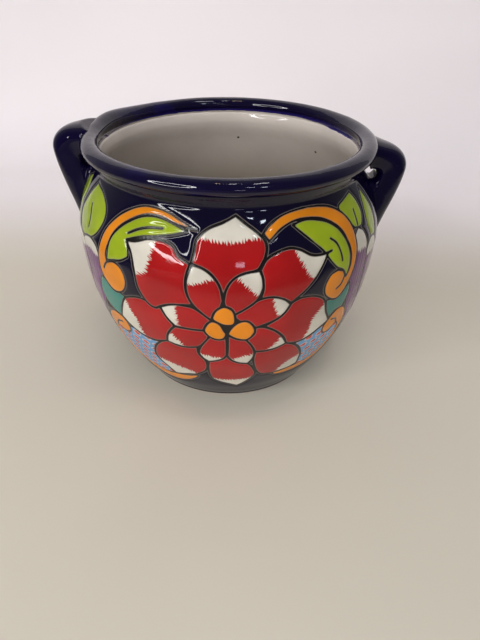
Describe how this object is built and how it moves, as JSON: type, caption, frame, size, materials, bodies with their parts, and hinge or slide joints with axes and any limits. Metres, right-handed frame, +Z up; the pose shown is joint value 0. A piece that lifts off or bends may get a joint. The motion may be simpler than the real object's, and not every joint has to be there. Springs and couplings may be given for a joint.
{
  "type": "planter",
  "caption": "Round bulbous ceramic planter with a rolled rim, ear handles at the sides, a flat foot and a drain hole, painted with flowers, leaves and scrolls.",
  "frame": {"origin": "centre of the foot, on the surface that the planter stands on", "axes": "+Z up along the pot's turning axis, +X towards the right handle, -Y towards the front with the large flower"},
  "size_m": [0.309, 0.272, 0.2254],
  "materials": {
    "painted_glaze": "gloss",
    "cobalt_glaze": "gloss"
  },
  "bodies": {
    "root": {"pot_body": "painted_glaze", "rim_coil": "cobalt_glaze", "handle_right": "cobalt_glaze", "handle_left": "cobalt_glaze"}
  },
  "joints": []
}
